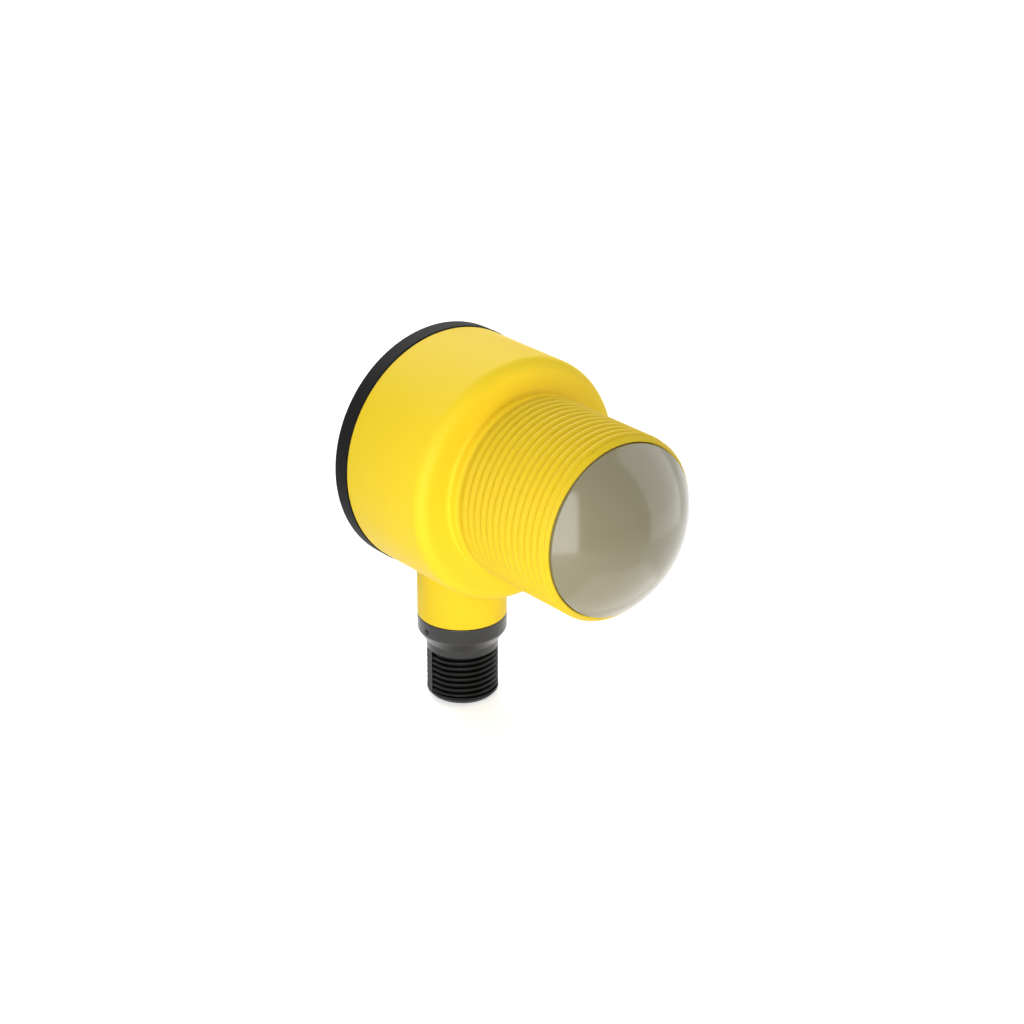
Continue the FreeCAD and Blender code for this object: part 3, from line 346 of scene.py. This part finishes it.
def turned_housing():
    """Body and barrel: a profile turned about the barrel's axis.

    On the rim the radius is the lesser of the profile's and the thread's, so that the groove runs
    through it."""
    profile = rounded([
        (RELIEF_RAMP, RELIEF_RADIUS, RELIEF_ROUNDING),
        (BODY_FRONT, RELIEF_RADIUS, RELIEF_FILLET),
        (BODY_FRONT, BODY_RADIUS, SHOULDER_FILLET),
        (BODY_END, BODY_RADIUS, SEAM_ROUNDING),
        (BODY_END, CAVITY_RADIUS, 0),
        (CAVITY_FRONT, CAVITY_RADIUS, 0),
        (CAVITY_FRONT, SEAT_RADIUS, 0),
        (SEAT_FRONT, SEAT_RADIUS, 0),
        (SEAT_FRONT, BORE_RADIUS, 0),
        (LENS_SEAT, BORE_RADIUS, 0),
        (LENS_SEAT, MOUTH_RADIUS, 0),
        (RIM, MOUTH_RADIUS, EDGE_ROUNDING),
        (RIM, BARREL_RADIUS - RIM_CHAMFER_DEPTH, EDGE_ROUNDING),
        (RIM + RIM_CHAMFER_LENGTH, BARREL_RADIUS, RIM_CHAMFER_ROUNDING),
        (LENS_SEAT, BARREL_RADIUS, LAND_ROUNDING),
        (LENS_SEAT + BARREL_RUNOUT, BARREL_ROOT, 0),
        (BARREL_LAND - BARREL_RUNOUT, BARREL_ROOT, 0),
        (BARREL_LAND, BARREL_RADIUS, LAND_ROUNDING),
        (0, BARREL_RADIUS, LAND_ROUNDING),
    ], steps=8)
    on_rim = (profile[:, 0] < LENS_SEAT + BARREL_RUNOUT) & (profile[:, 1] > MOUTH_RADIUS)
    profile = filled(profile, RIM_STEP, on_rim)
    angle = full_turn(AROUND)
    along, radius = spread(profile, angle)
    climbed = (BARREL_START - angle) / TURN * BARREL_PITCH
    shift = along - BARREL_FIRST_RIDGE - climbed + BARREL_PITCH / 2
    thread = ridge_height(shift % BARREL_PITCH - BARREL_PITCH / 2, *BARREL_RIDGE)
    on_rim = (along < LENS_SEAT + BARREL_RUNOUT) & (radius > MOUTH_RADIUS + RIM_OVERLAP)
    radius = np.where(on_rim, np.minimum(radius, thread), radius)
    return closed_shell(about_y(along, radius, angle), loop=True)


def barrel_ridge():
    """The barrel's thread: a helical ridge, cut off at the rim, whose own shell carries it on."""
    angle, along, radius = helical_ridge(
        BARREL_START,
        BARREL_TURNS,
        BARREL_FIRST_RIDGE,
        BARREL_PITCH,
        *BARREL_RIDGE,
        limit=LENS_SEAT - RIM_OVERLAP,
    )
    return closed_shell(about_y(along, radius, angle))


def turned_stem():
    """Stem: a wall turned about the stem's axis, with an upper end that follows the body.

    That end is just clear of the rear cover behind the body, and sunk in the body's wall elsewhere.
    Two pairs of close angles make a step where the one gives way to the other."""
    riser = math.asin((BODY_END - STEM_PLACE) / STEM_RADIUS)
    steps = [edge + shift for edge in (riser, math.pi - riser) for shift in (-STEP_TURN, STEP_TURN)]
    angle = np.sort(np.concatenate((full_turn(STEM_AROUND), steps)))
    wall = rounded([
        (POLE_RADIUS, STEM_BORE_TOP, 0),
        (STEM_BORE_RADIUS, STEM_BORE_TOP, 0),
        (STEM_BORE_RADIUS, STEM_END, 0),
        (STEM_RADIUS, STEM_END, STEM_ROUNDING),
        (STEM_RADIUS, STEM_BORE_TOP, 0),
    ], steps=8)
    reach, height = spread(wall, angle)
    lower = about_stem(reach, angle, height)
    reach = np.linspace(STEM_RADIUS, POLE_RADIUS, STEM_ROWS)[:, None]
    upper = about_stem(reach, angle, 0)
    limit = np.where(upper[..., 1] > BODY_END, SADDLE_RADIUS, BODY_RADIUS - STEM_BURIED)
    upper[..., 2] = -np.sqrt(limit ** 2 - upper[..., 0] ** 2)
    return closed_shell(np.concatenate((lower, upper)))


def make_housing_skin():
    """Housing: the turned body and barrel, the barrel's thread and the stem."""
    return make_piece("housing_skin", [turned_housing(), barrel_ridge(), turned_stem()])


def make_lens_skin():
    """Lens: a dome of one radius on a short foot, turned about the barrel's axis."""
    half_angle = math.asin(LENS_RADIUS / DOME_RADIUS)
    sweep = np.linspace(DOME_START, 1, DOME_ROWS) * half_angle
    centre = LENS_FOOT + DOME_RADIUS * math.cos(half_angle)
    dome = np.stack((centre - DOME_RADIUS * np.cos(sweep), DOME_RADIUS * np.sin(sweep)), -1)
    foot = np.array([
        (LENS_FOOT + LENS_FOOT_STEP, LENS_RADIUS),
        (LENS_SEAT, LENS_RADIUS),
        (LENS_SEAT, LENS_SPIGOT_RADIUS),
        (LENS_BACK, LENS_SPIGOT_RADIUS),
        (LENS_BACK, POLE_RADIUS),
    ])
    profile = np.concatenate((dome, foot))
    angle = full_turn(AROUND)
    along, radius = spread(profile, angle)
    return make_piece("lens_skin", [closed_shell(about_y(along, radius, angle))])


def connector_profile():
    """Outline of collar, cone, neck, thread's root and socket, with points added for the dimples.

    The bore, the spigot and the thread's root need none, so they go without."""
    outline = rounded([
        (SOCKET_RADIUS, SPIGOT_TOP, 0),
        (SPIGOT_RADIUS, SPIGOT_TOP, 0),
        (SPIGOT_RADIUS, STEM_END, 0),
        (STEM_RADIUS, STEM_END, SEAM_ROUNDING),
        (STEM_RADIUS, COLLAR_END, COLLAR_ROUNDING),
        (CONNECTOR_RADIUS, CONE_END, CONE_ROUNDING),
        (CONNECTOR_RADIUS, NECK_END, EDGE_ROUNDING),
        (CONNECTOR_ROOT, NECK_END, EDGE_ROUNDING),
        (CONNECTOR_ROOT, THREAD_END, EDGE_ROUNDING),
        (CONNECTOR_RADIUS, THREAD_END, EDGE_ROUNDING),
        (CONNECTOR_RADIUS, CONNECTOR_END + CONNECTOR_CHAMFER, CONNECTOR_END_ROUNDING),
        (CONNECTOR_RADIUS - CONNECTOR_CHAMFER_WIDTH, CONNECTOR_END, CONNECTOR_END_ROUNDING),
        (SOCKET_RADIUS, CONNECTOR_END, CONNECTOR_END_ROUNDING),
    ])
    profile = filled(outline, CONNECTOR_STEP, np.ones(len(outline), bool))
    radius, height = profile.T
    inner = (radius < SOCKET_RADIUS + PROFILE_HAIR) & (height < SPIGOT_TOP - PROFILE_HAIR)
    inner &= height > CONNECTOR_END + PROFILE_MARGIN
    plain = (height > STEM_END + PROFILE_MARGIN) & (height < SPIGOT_TOP - PROFILE_HAIR)
    plain |= (height > THREAD_END + PROFILE_MARGIN) & (height < NECK_END - PROFILE_MARGIN)
    return profile[~(inner | plain)]


def turned_connector():
    """Collar, cone, neck and socket: the connector's profile turned about the stem's axis.

    Two plain webs stand on opposite sides of the thread, where the radius grows to reach a flat plane.
    A dimple on each side of the collar lessens the radius by a depth that falls off with distance."""
    half_web = WEB_WIDTH / 2 / CONNECTOR_RADIUS
    edges = np.array([
        side * half_web + shift for side in (-1, 1) for shift in (-WEB_EDGE_TURN, WEB_EDGE_TURN)
    ])
    webs = np.concatenate((WEB_TURN + edges, WEB_TURN + math.pi + edges)) % TURN
    angle = np.sort(np.concatenate((full_turn(CONNECTOR_AROUND), webs)))
    radius, height = spread(connector_profile(), angle)
    wall_middle = (SOCKET_RADIUS + CONNECTOR_ROOT) / 2
    threaded = (height < NECK_END) & (height > THREAD_END) & (radius > wall_middle)
    turn = (angle - WEB_TURN + math.pi / 2) % math.pi - math.pi / 2
    web = np.maximum(radius, WEB_TOP / np.cos(turn))
    radius = np.where(threaded & (np.abs(turn) < half_web), web, radius)
    across = (angle + math.pi / 2) % math.pi - math.pi / 2
    away = np.hypot(across * STEM_RADIUS, height - DIMPLE_HEIGHT) / DIMPLE_RADIUS
    on_collar = (height < STEM_END - PROFILE_MARGIN) & (height > COLLAR_END)
    radius -= np.where(on_collar, DIMPLE_DEPTH * np.clip(1 - away ** 4, 0, 1), 0)
    return closed_shell(about_stem(radius, angle, height), loop=True)


def connector_ridge():
    """The connector's thread: a helical ridge that goes down from the neck."""
    angle, height, radius = helical_ridge(
        CONNECTOR_START, CONNECTOR_TURNS, CONNECTOR_FIRST_RIDGE, -CONNECTOR_PITCH, *CONNECTOR_RIDGE
    )
    return closed_shell(about_stem(radius, angle, height))


def connector_key():
    """The socket's key: a bar along the socket's wall, tapered at its open end."""
    key = rounded([
        (KEY_TOP_RADIUS, -KEY_WIDTH / 2, KEY_ROUNDING),
        (SOCKET_RADIUS + KEY_BURIED, -KEY_WIDTH / 2, 0),
        (SOCKET_RADIUS + KEY_BURIED, KEY_WIDTH / 2, 0),
        (KEY_TOP_RADIUS, KEY_WIDTH / 2, KEY_ROUNDING),
    ])
    height = np.array([SOCKET_TOP, KEY_END + KEY_TAPER, KEY_END])[:, None] + 0 * key[:, 0]
    inset = np.array([0, 0, KEY_TAPER])[:, None]
    across, side = np.maximum(key[:, 0], KEY_TOP_RADIUS + inset), key[:, 1] * (1 - inset)
    return closed_shell(np.stack((across, STEM_PLACE + side, height), -1))


def make_connector_skin():
    """Connector: the turned shell with its webs and dimples, its thread and its key."""
    return make_piece("connector_skin", [turned_connector(), connector_ridge(), connector_key()])


# Materials


def new_group(name, inputs, outputs):
    """A shader node group with named sockets: each is (name, type, default)."""
    tree = bpy.data.node_groups.new(name, "ShaderNodeTree")
    for label, kind, value in inputs:
        tree.interface.new_socket(label, in_out="INPUT", socket_type=kind).default_value = value
    for label, kind in outputs:
        tree.interface.new_socket(label, in_out="OUTPUT", socket_type=kind)
    return tree, tree.nodes.new("NodeGroupInput"), tree.nodes.new("NodeGroupOutput")


def add_math(tree, operation, *values):
    """The result of one calculation on values that are numbers or sockets."""
    node = tree.nodes.new("ShaderNodeMath")
    node.operation = operation
    for number, value in enumerate(values):
        if isinstance(value, bpy.types.NodeSocket):
            tree.links.new(value, node.inputs[number])
        else:
            node.inputs[number].default_value = value
    return node.outputs[0]


def add_range(tree, value, low, high, first, last):
    """A socket's value carried from low and high to first and last, and held at both ends."""
    node = tree.nodes.new("ShaderNodeMapRange")
    tree.links.new(value, node.inputs["Value"])
    node.inputs["From Min"].default_value, node.inputs["From Max"].default_value = low, high
    node.inputs["To Min"].default_value, node.inputs["To Max"].default_value = first, last
    return node.outputs["Result"]


DRIFT_SCALE = 60
GRAIN_HEIGHT = 0.02


def make_moulded_group():
    """Moulded plastic: slow tone drift, patchy gloss and a fine grain, all from Object coordinates."""
    tree, inputs, outputs = new_group(
        "moulded_plastic",
        [
            ("Color", "NodeSocketColor", (0.5, 0.5, 0.5, 1)),
            ("Drift", "NodeSocketFloat", 0.03),
            ("Roughness", "NodeSocketFloat", 0.4),
            ("Patches", "NodeSocketFloat", 0.05),
            ("Grain", "NodeSocketFloat", 0.02),
            ("Grain Size", "NodeSocketFloat", 2500.0),
        ],
        [("Color", "NodeSocketColor"), ("Roughness", "NodeSocketFloat"), ("Normal", "NodeSocketVector")],
    )
    add, link = tree.nodes.new, tree.links.new
    place = add("ShaderNodeTexCoord").outputs["Object"]
    slow = add("ShaderNodeTexNoise")
    slow.inputs["Scale"].default_value = DRIFT_SCALE
    slow.inputs["Detail"].default_value = 3
    link(place, slow.inputs["Vector"])
    fine = add("ShaderNodeTexNoise")
    fine.inputs["Detail"].default_value = 2
    link(place, fine.inputs["Vector"])
    link(inputs.outputs["Grain Size"], fine.inputs["Scale"])
    centred = add_math(tree, "SUBTRACT", slow.outputs["Fac"], 0.5)
    brightness = add_math(tree, "MULTIPLY_ADD", centred, inputs.outputs["Drift"], 1)
    tint = add("ShaderNodeVectorMath")
    tint.operation = "SCALE"
    link(inputs.outputs["Color"], tint.inputs[0])
    link(brightness, tint.inputs["Scale"])
    link(tint.outputs[0], outputs.inputs["Color"])
    gloss = add_math(
        tree, "MULTIPLY_ADD", centred, inputs.outputs["Patches"], inputs.outputs["Roughness"]
    )
    link(gloss, outputs.inputs["Roughness"])
    bump = add("ShaderNodeBump")
    bump.inputs["Distance"].default_value = GRAIN_HEIGHT * MM
    link(inputs.outputs["Grain"], bump.inputs["Strength"])
    link(fine.outputs["Fac"], bump.inputs["Height"])
    link(bump.outputs["Normal"], outputs.inputs["Normal"])
    return tree


MOULDED = make_moulded_group()

# Painted shade: colour factors at a thread's root and crest, and coat weights off the thread and on it
YELLOW_GROOVE_SHADE = (0.79, 0.82)
BLACK_GROOVE_SHADE = (0.05, 0.5)
BLACK_COATS = (0.85, 0.25)

# Depth below the crest where the black's painted shade is darkest, and its start each side of the neck's
# end
BLACK_SHADE_DEPTH = 0.2
BLACK_SHADE_EDGE = 0.1


def moulded(name, color, roughness=0.4, drift=0.03, patches=0.05, grain=0.1, grain_size=2500, **sockets):
    """A plastic, rubber, resin or metal finish through the moulded group, with plain shader values."""
    material = bpy.data.materials.new(name)
    material.use_nodes = True
    tree = material.node_tree
    shader = tree.nodes["Principled BSDF"]
    finish = tree.nodes.new("ShaderNodeGroup")
    finish.node_tree = MOULDED
    finish.inputs["Color"].default_value = (*color, 1)
    for label, value in (
        ("Roughness", roughness),
        ("Drift", drift),
        ("Patches", patches),
        ("Grain", grain),
        ("Grain Size", grain_size),
    ):
        finish.inputs[label].default_value = value
    tree.links.new(finish.outputs["Color"], shader.inputs["Base Color"])
    tree.links.new(finish.outputs["Roughness"], shader.inputs["Roughness"])
    tree.links.new(finish.outputs["Normal"], shader.inputs["Normal"])
    for label, value in sockets.items():
        shader.inputs[label.replace("_", " ")].default_value = value
    return material


def add_painted_groove_shade(material, along, centre, root, crest, start, end, shade_levels, coats=None):
    """Painted shade: darkens a finish's colour on a thread, the more the nearer to its root.

    The thread lies about an axis of the object's frame, and between start and end along it the painted
    shade sets in. The coats are the weights of the clear coat off the thread and on it."""
    tree = material.node_tree
    add, link = tree.nodes.new, tree.links.new
    finish = next(node for node in tree.nodes if node.type == "GROUP")
    place = add("ShaderNodeSeparateXYZ")
    link(add("ShaderNodeTexCoord").outputs["Object"], place.inputs[0])
    across = add("ShaderNodeCombineXYZ")
    link(place.outputs["X"], across.inputs["X"])
    link(place.outputs["Z" if along == "Y" else "Y"], across.inputs["Y"])
    away = add("ShaderNodeVectorMath")
    away.operation = "DISTANCE"
    away.inputs[1].default_value = (0, centre * MM, 0)
    link(across.outputs[0], away.inputs[0])
    tone = add_range(tree, away.outputs["Value"], root * MM, crest * MM, *shade_levels)
    on_thread = add_range(tree, place.outputs[along], start * MM, end * MM, 0, 1)
    factor = add("ShaderNodeMix")
    factor.inputs[2].default_value = 1
    link(on_thread, factor.inputs[0])
    link(tone, factor.inputs[3])
    color = add("ShaderNodeVectorMath")
    color.operation = "SCALE"
    color.inputs[0].default_value = finish.inputs["Color"].default_value[:3]
    link(factor.outputs[0], color.inputs["Scale"])
    link(color.outputs[0], finish.inputs["Color"])
    if coats:
        coat = add_range(tree, on_thread, 0, 1, *coats)
        link(coat, tree.nodes["Principled BSDF"].inputs["Coat Weight"])


YELLOW = moulded(
    "yellow_plastic",
    (0.95, 0.685, 0.027),
    roughness=0.45,
    drift=0.02,
    grain=0.12,
    Specular_IOR_Level=0.12,
)
# Painted shade: the barrel ahead of its land is darkened to about four fifths, most at the thread's root
add_painted_groove_shade(
    YELLOW, "Y", 0, BARREL_ROOT, BARREL_CREST, BARREL_LAND, BARREL_LAND - BARREL_RUNOUT, YELLOW_GROOVE_SHADE
)
BLACK = moulded(
    "black_plastic",
    (0.02, 0.02, 0.0205),
    roughness=0.36,
    drift=0.1,
    patches=0.08,
    grain=0.25,
    Specular_IOR_Level=0.06,
    Coat_Roughness=0.33,
    Coat_IOR=1.5,
)
# Painted shade: the connector below its neck is darkened, deepest in the thread's valleys
add_painted_groove_shade(
    BLACK,
    "Z",
    STEM_PLACE,
    CONNECTOR_CREST - BLACK_SHADE_DEPTH,
    CONNECTOR_CREST,
    NECK_END + BLACK_SHADE_EDGE,
    NECK_END - BLACK_SHADE_EDGE,
    BLACK_GROOVE_SHADE,
    BLACK_COATS,
)
# Painted shade: a darker copy of the black plastic for the rear cover
SHADED_COVER = moulded(
    "shaded_cover_plastic",
    (0.01, 0.01, 0.0105),
    roughness=0.5,
    drift=0.1,
    patches=0.08,
    grain=0.25,
    Specular_IOR_Level=0.06,
)
LENS = moulded(
    "lens_plastic",
    (0.221, 0.196, 0.109),
    roughness=0.3,
    drift=0.02,
    patches=0.02,
    grain=0.02,
    Specular_IOR_Level=0.05,
    Coat_Weight=1.0,
    Coat_Roughness=0.15,
    Coat_IOR=1.6,
)

# Numbers after the colour: roughness, drift, patches, grain and grain size
SLOT_MATERIALS = {
    "yellow_plastic": YELLOW,
    "black_plastic": BLACK,
    "lens_plastic": LENS,
    "seal_rubber": moulded("seal_rubber", (0.02, 0.02, 0.02), 0.6, 0.2, 0.1, 0.3),
    "holder_plastic": moulded("holder_plastic", (0.75, 0.74, 0.7), 0.5),
    "absorber_foam": moulded("absorber_foam", (0.05, 0.05, 0.055), 0.8, 0.3, 0.1, 1.0, 900),
    "board_laminate": moulded("board_laminate", (0.02, 0.16, 0.06), 0.3, 0.15, 0.1, 0.3, 1200),
    "chip_resin": moulded("chip_resin", (0.03, 0.03, 0.035), 0.5, 0.1, 0.1, 0.5),
    "crystal_can": moulded("crystal_can", (0.7, 0.7, 0.68), 0.3, 0.05, 0.1, 0.2, Metallic=1.0),
    "capacitor_ceramic": moulded("capacitor_ceramic", (0.45, 0.33, 0.2), 0.45),
    "link_plastic": moulded("link_plastic", (0.04, 0.04, 0.04), 0.5),
    "gilded_contact": moulded("gilded_contact", (0.83, 0.6, 0.24), 0.2, 0.05, 0.1, 0.05, Metallic=1.0),
    "coil_ferrite": moulded("coil_ferrite", (0.12, 0.12, 0.12), 0.6, 0.2, 0.1, 0.6),
    "capacitor_can": moulded("capacitor_can", (0.8, 0.8, 0.8), 0.3, 0.05, 0.1, 0.1, Metallic=1.0),
    "light_resin": moulded("light_resin", (0.85, 0.8, 0.55), 0.2),
    "guide_plastic": moulded("guide_plastic", (0.8, 0.82, 0.84), 0.12),
    "screw_steel": moulded("screw_steel", (0.62, 0.62, 0.62), 0.3, 0.05, 0.1, 0.1, Metallic=1.0),
    "carrier_plastic": moulded("carrier_plastic", (0.035, 0.035, 0.035), 0.5),
    "brown_insulation": moulded("brown_insulation", (0.2, 0.08, 0.03), 0.45),
    "white_insulation": moulded("white_insulation", (0.8, 0.8, 0.78), 0.45),
    "blue_insulation": moulded("blue_insulation", (0.02, 0.1, 0.5), 0.45),
    "black_insulation": moulded("black_insulation", (0.03, 0.03, 0.03), 0.45),
    "grey_insulation": moulded("grey_insulation", (0.3, 0.3, 0.3), 0.45),
}


def dress(item, slot):
    """Gives a piece the one material of its slot."""
    item.data.materials.clear()
    item.data.materials.append(SLOT_MATERIALS[slot])


slot_of = {part["node"]: part["material_slot"] for part in frame["record"]["subparts"]}
for node, item in frame["nodes"].items():
    dress(item, slot_of[node])

# The rear cover gets a darker, rougher copy of the black plastic: its darker colour is painted shade
frame["nodes"]["rear_cover"].data.materials[0] = SHADED_COVER

for item, node in (
    (make_housing_skin(), "housing"),
    (make_lens_skin(), "lens"),
    (make_connector_skin(), "connector_shell"),
):
    dress(item, slot_of[node])
    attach(item, "root")
    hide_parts(node)


# Floor, background, light and camera

FLOOR_SIDE = 1500.0
FLOOR_GAP = 0.4
FLOOR_COLOR = (0.8, 0.8, 0.8, 1)
FLOOR_ROUGHNESS = 0.9
FLOOR_SPECULAR = 0.1
FLOOR_LIFT = 0.55
WORLD_LEVEL = 0.22
WHITE = (1, 1, 1, 1)


def add_seen_directly(tree):
    """A value of 1 for rays from the camera, off gloss or through clear parts, and 0 for others."""
    path = tree.nodes.new("ShaderNodeLightPath")
    total = path.outputs["Is Camera Ray"]
    for label in ("Is Glossy Ray", "Is Transmission Ray"):
        total = add_math(tree, "MAXIMUM", total, path.outputs[label])
    return total


def make_floor():
    """Pale flat floor just under the connector, lifted to white where it is seen directly."""
    side, level = FLOOR_SIDE, CONNECTOR_END - FLOOR_GAP
    corners = np.array([
        [-side, -side, level],
        [side, -side, level],
        [side, side, level],
        [-side, side, level],
    ])
    mesh = bpy.data.meshes.new("floor")
    mesh.from_pydata((corners * MM).tolist(), [], [(0, 1, 2, 3)])
    floor = bpy.data.objects.new("floor", mesh)
    bpy.context.scene.collection.objects.link(floor)
    material = bpy.data.materials.new("pale_floor")
    material.use_nodes = True
    tree = material.node_tree
    shader = tree.nodes["Principled BSDF"]
    shader.inputs["Base Color"].default_value = FLOOR_COLOR
    shader.inputs["Roughness"].default_value = FLOOR_ROUGHNESS
    shader.inputs["Specular IOR Level"].default_value = FLOOR_SPECULAR
    lift = add_math(tree, "MULTIPLY", add_seen_directly(tree), FLOOR_LIFT)
    glow = tree.nodes.new("ShaderNodeEmission")
    glow.inputs["Color"].default_value = WHITE
    total = tree.nodes.new("ShaderNodeAddShader")
    tree.links.new(lift, glow.inputs["Strength"])
    tree.links.new(shader.outputs["BSDF"], total.inputs[0])
    tree.links.new(glow.outputs["Emission"], total.inputs[1])
    tree.links.new(total.outputs["Shader"], tree.nodes["Material Output"].inputs["Surface"])
    mesh.materials.append(material)


# Soft boxes: name, azimuth and elevation in degrees, degrees wide and high, distance and radiance
LAMPS = (
    ("left_box", -51, 2, 44, 64, 130, 3.5),
    ("back_top", 165, 50, 60, 50, 600, 2.6),
    ("right_box", 56, 13, 47, 72, 110, 1.05),
)

# Bright card that lies on the floor ahead of the lens: middle (x and y), width, length and radiance
BOUNCE = (12, -45, 58, 46, 0.66)


def direction(azimuth, elevation):
    """The direction from the sensor at an azimuth and an elevation: 0 and 0 point along -Y."""
    flat = math.cos(elevation)
    return Vector((math.sin(azimuth) * flat, -math.cos(azimuth) * flat, math.sin(elevation)))


def add_lamp(name, place, back, width, height, radiance):
    """A soft rectangular lamp at a place in millimetres, which shines away from its back."""
    light = bpy.data.lights.new(name, "AREA")
    light.shape = "RECTANGLE"
    light.size, light.size_y = width * MM, height * MM
    light.energy = radiance * math.pi * light.size * light.size_y
    lamp = bpy.data.objects.new(name, light)
    lamp.location = place * MM
    lamp.rotation_euler = back.to_track_quat("Z", "Y").to_euler()
    lamp.visible_camera = False
    bpy.context.scene.collection.objects.link(lamp)


def make_lights():
    """A white background for direct rays, a dim one for diffuse light, the soft boxes and the card."""
    world = bpy.data.worlds.new("studio")
    world.use_nodes = True
    tree = world.node_tree
    sky = tree.nodes["Background"].inputs
    sky["Color"].default_value = WHITE
    level = add_range(tree, add_seen_directly(tree), 0, 1, WORLD_LEVEL, 1)
    tree.links.new(level, sky["Strength"])
    bpy.context.scene.world = world
    for name, azimuth, elevation, wide, high, distance, radiance in LAMPS:
        back = direction(math.radians(azimuth), math.radians(elevation))
        width, height = (2 * distance * math.tan(math.radians(span / 2)) for span in (wide, high))
        add_lamp(name, back * distance, back, width, height, radiance)
    across, along, width, length, radiance = BOUNCE
    place = Vector((across, along, CONNECTOR_END))
    add_lamp("bounce_card", place, Vector((0, 0, -1)), width, length, radiance)


def make_camera():
    """The photograph's camera, found from the outlines of the sensor's round parts."""
    back = direction(CAMERA_AZIMUTH, CAMERA_ELEVATION)
    right = Vector((math.cos(CAMERA_AZIMUTH), math.sin(CAMERA_AZIMUTH), 0))
    up = back.cross(right)
    target = CAMERA_ORIGIN + right * CAMERA_ACROSS + up * CAMERA_UP
    camera = bpy.data.objects.new("camera", bpy.data.cameras.new("camera"))
    camera.data.lens = CAMERA_LENS
    camera.data.sensor_width = CAMERA_SENSOR
    camera.data.clip_start = CAMERA_NEAR * MM
    camera.location = (target + back * CAMERA_DISTANCE) * MM
    camera.rotation_euler = back.to_track_quat("Z", "Y").to_euler()
    bpy.context.scene.collection.objects.link(camera)
    bpy.context.scene.camera = camera


make_floor()
make_lights()
make_camera()
bpy.context.scene.view_settings.view_transform = "Standard"
